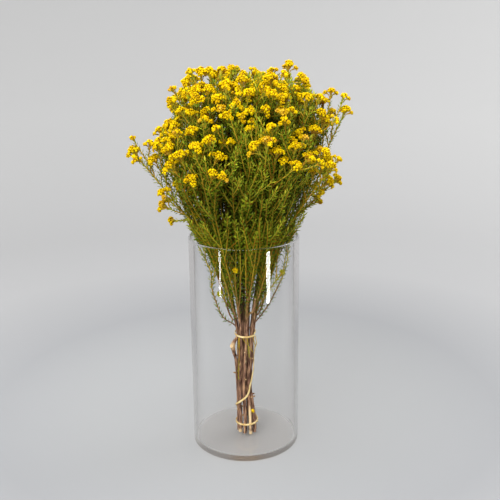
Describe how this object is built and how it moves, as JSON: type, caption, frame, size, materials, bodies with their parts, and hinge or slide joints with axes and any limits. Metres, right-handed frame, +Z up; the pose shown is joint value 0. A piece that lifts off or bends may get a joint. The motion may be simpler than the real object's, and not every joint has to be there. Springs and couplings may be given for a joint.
{
  "type": "phylica in vase",
  "caption": "Bunch of yellow button-headed phylica with fine needle leaves, banded and standing in a clear glass cylinder vase.",
  "frame": {"origin": "centre of the underside of the vase's glass base", "axes": "+Z up along the vase, -Y towards the front, +X to the right seen from the front"},
  "size_m": [0.2908, 0.231, 0.5307],
  "materials": {
    "clear_glass": "clear, polished",
    "pale_elastic": "matt",
    "phylica": "matt, dry leaves and bark"
  },
  "bodies": {
    "root": {"vase": "clear_glass", "binding_band": "pale_elastic", "stem_01": "phylica", "stem_02": "phylica", "stem_03": "phylica", "stem_04": "phylica", "stem_05": "phylica", "stem_06": "phylica", "stem_07": "phylica", "stem_08": "phylica", "stem_09": "phylica", "stem_10": "phylica", "stem_11": "phylica", "stem_12": "phylica"}
  },
  "joints": []
}
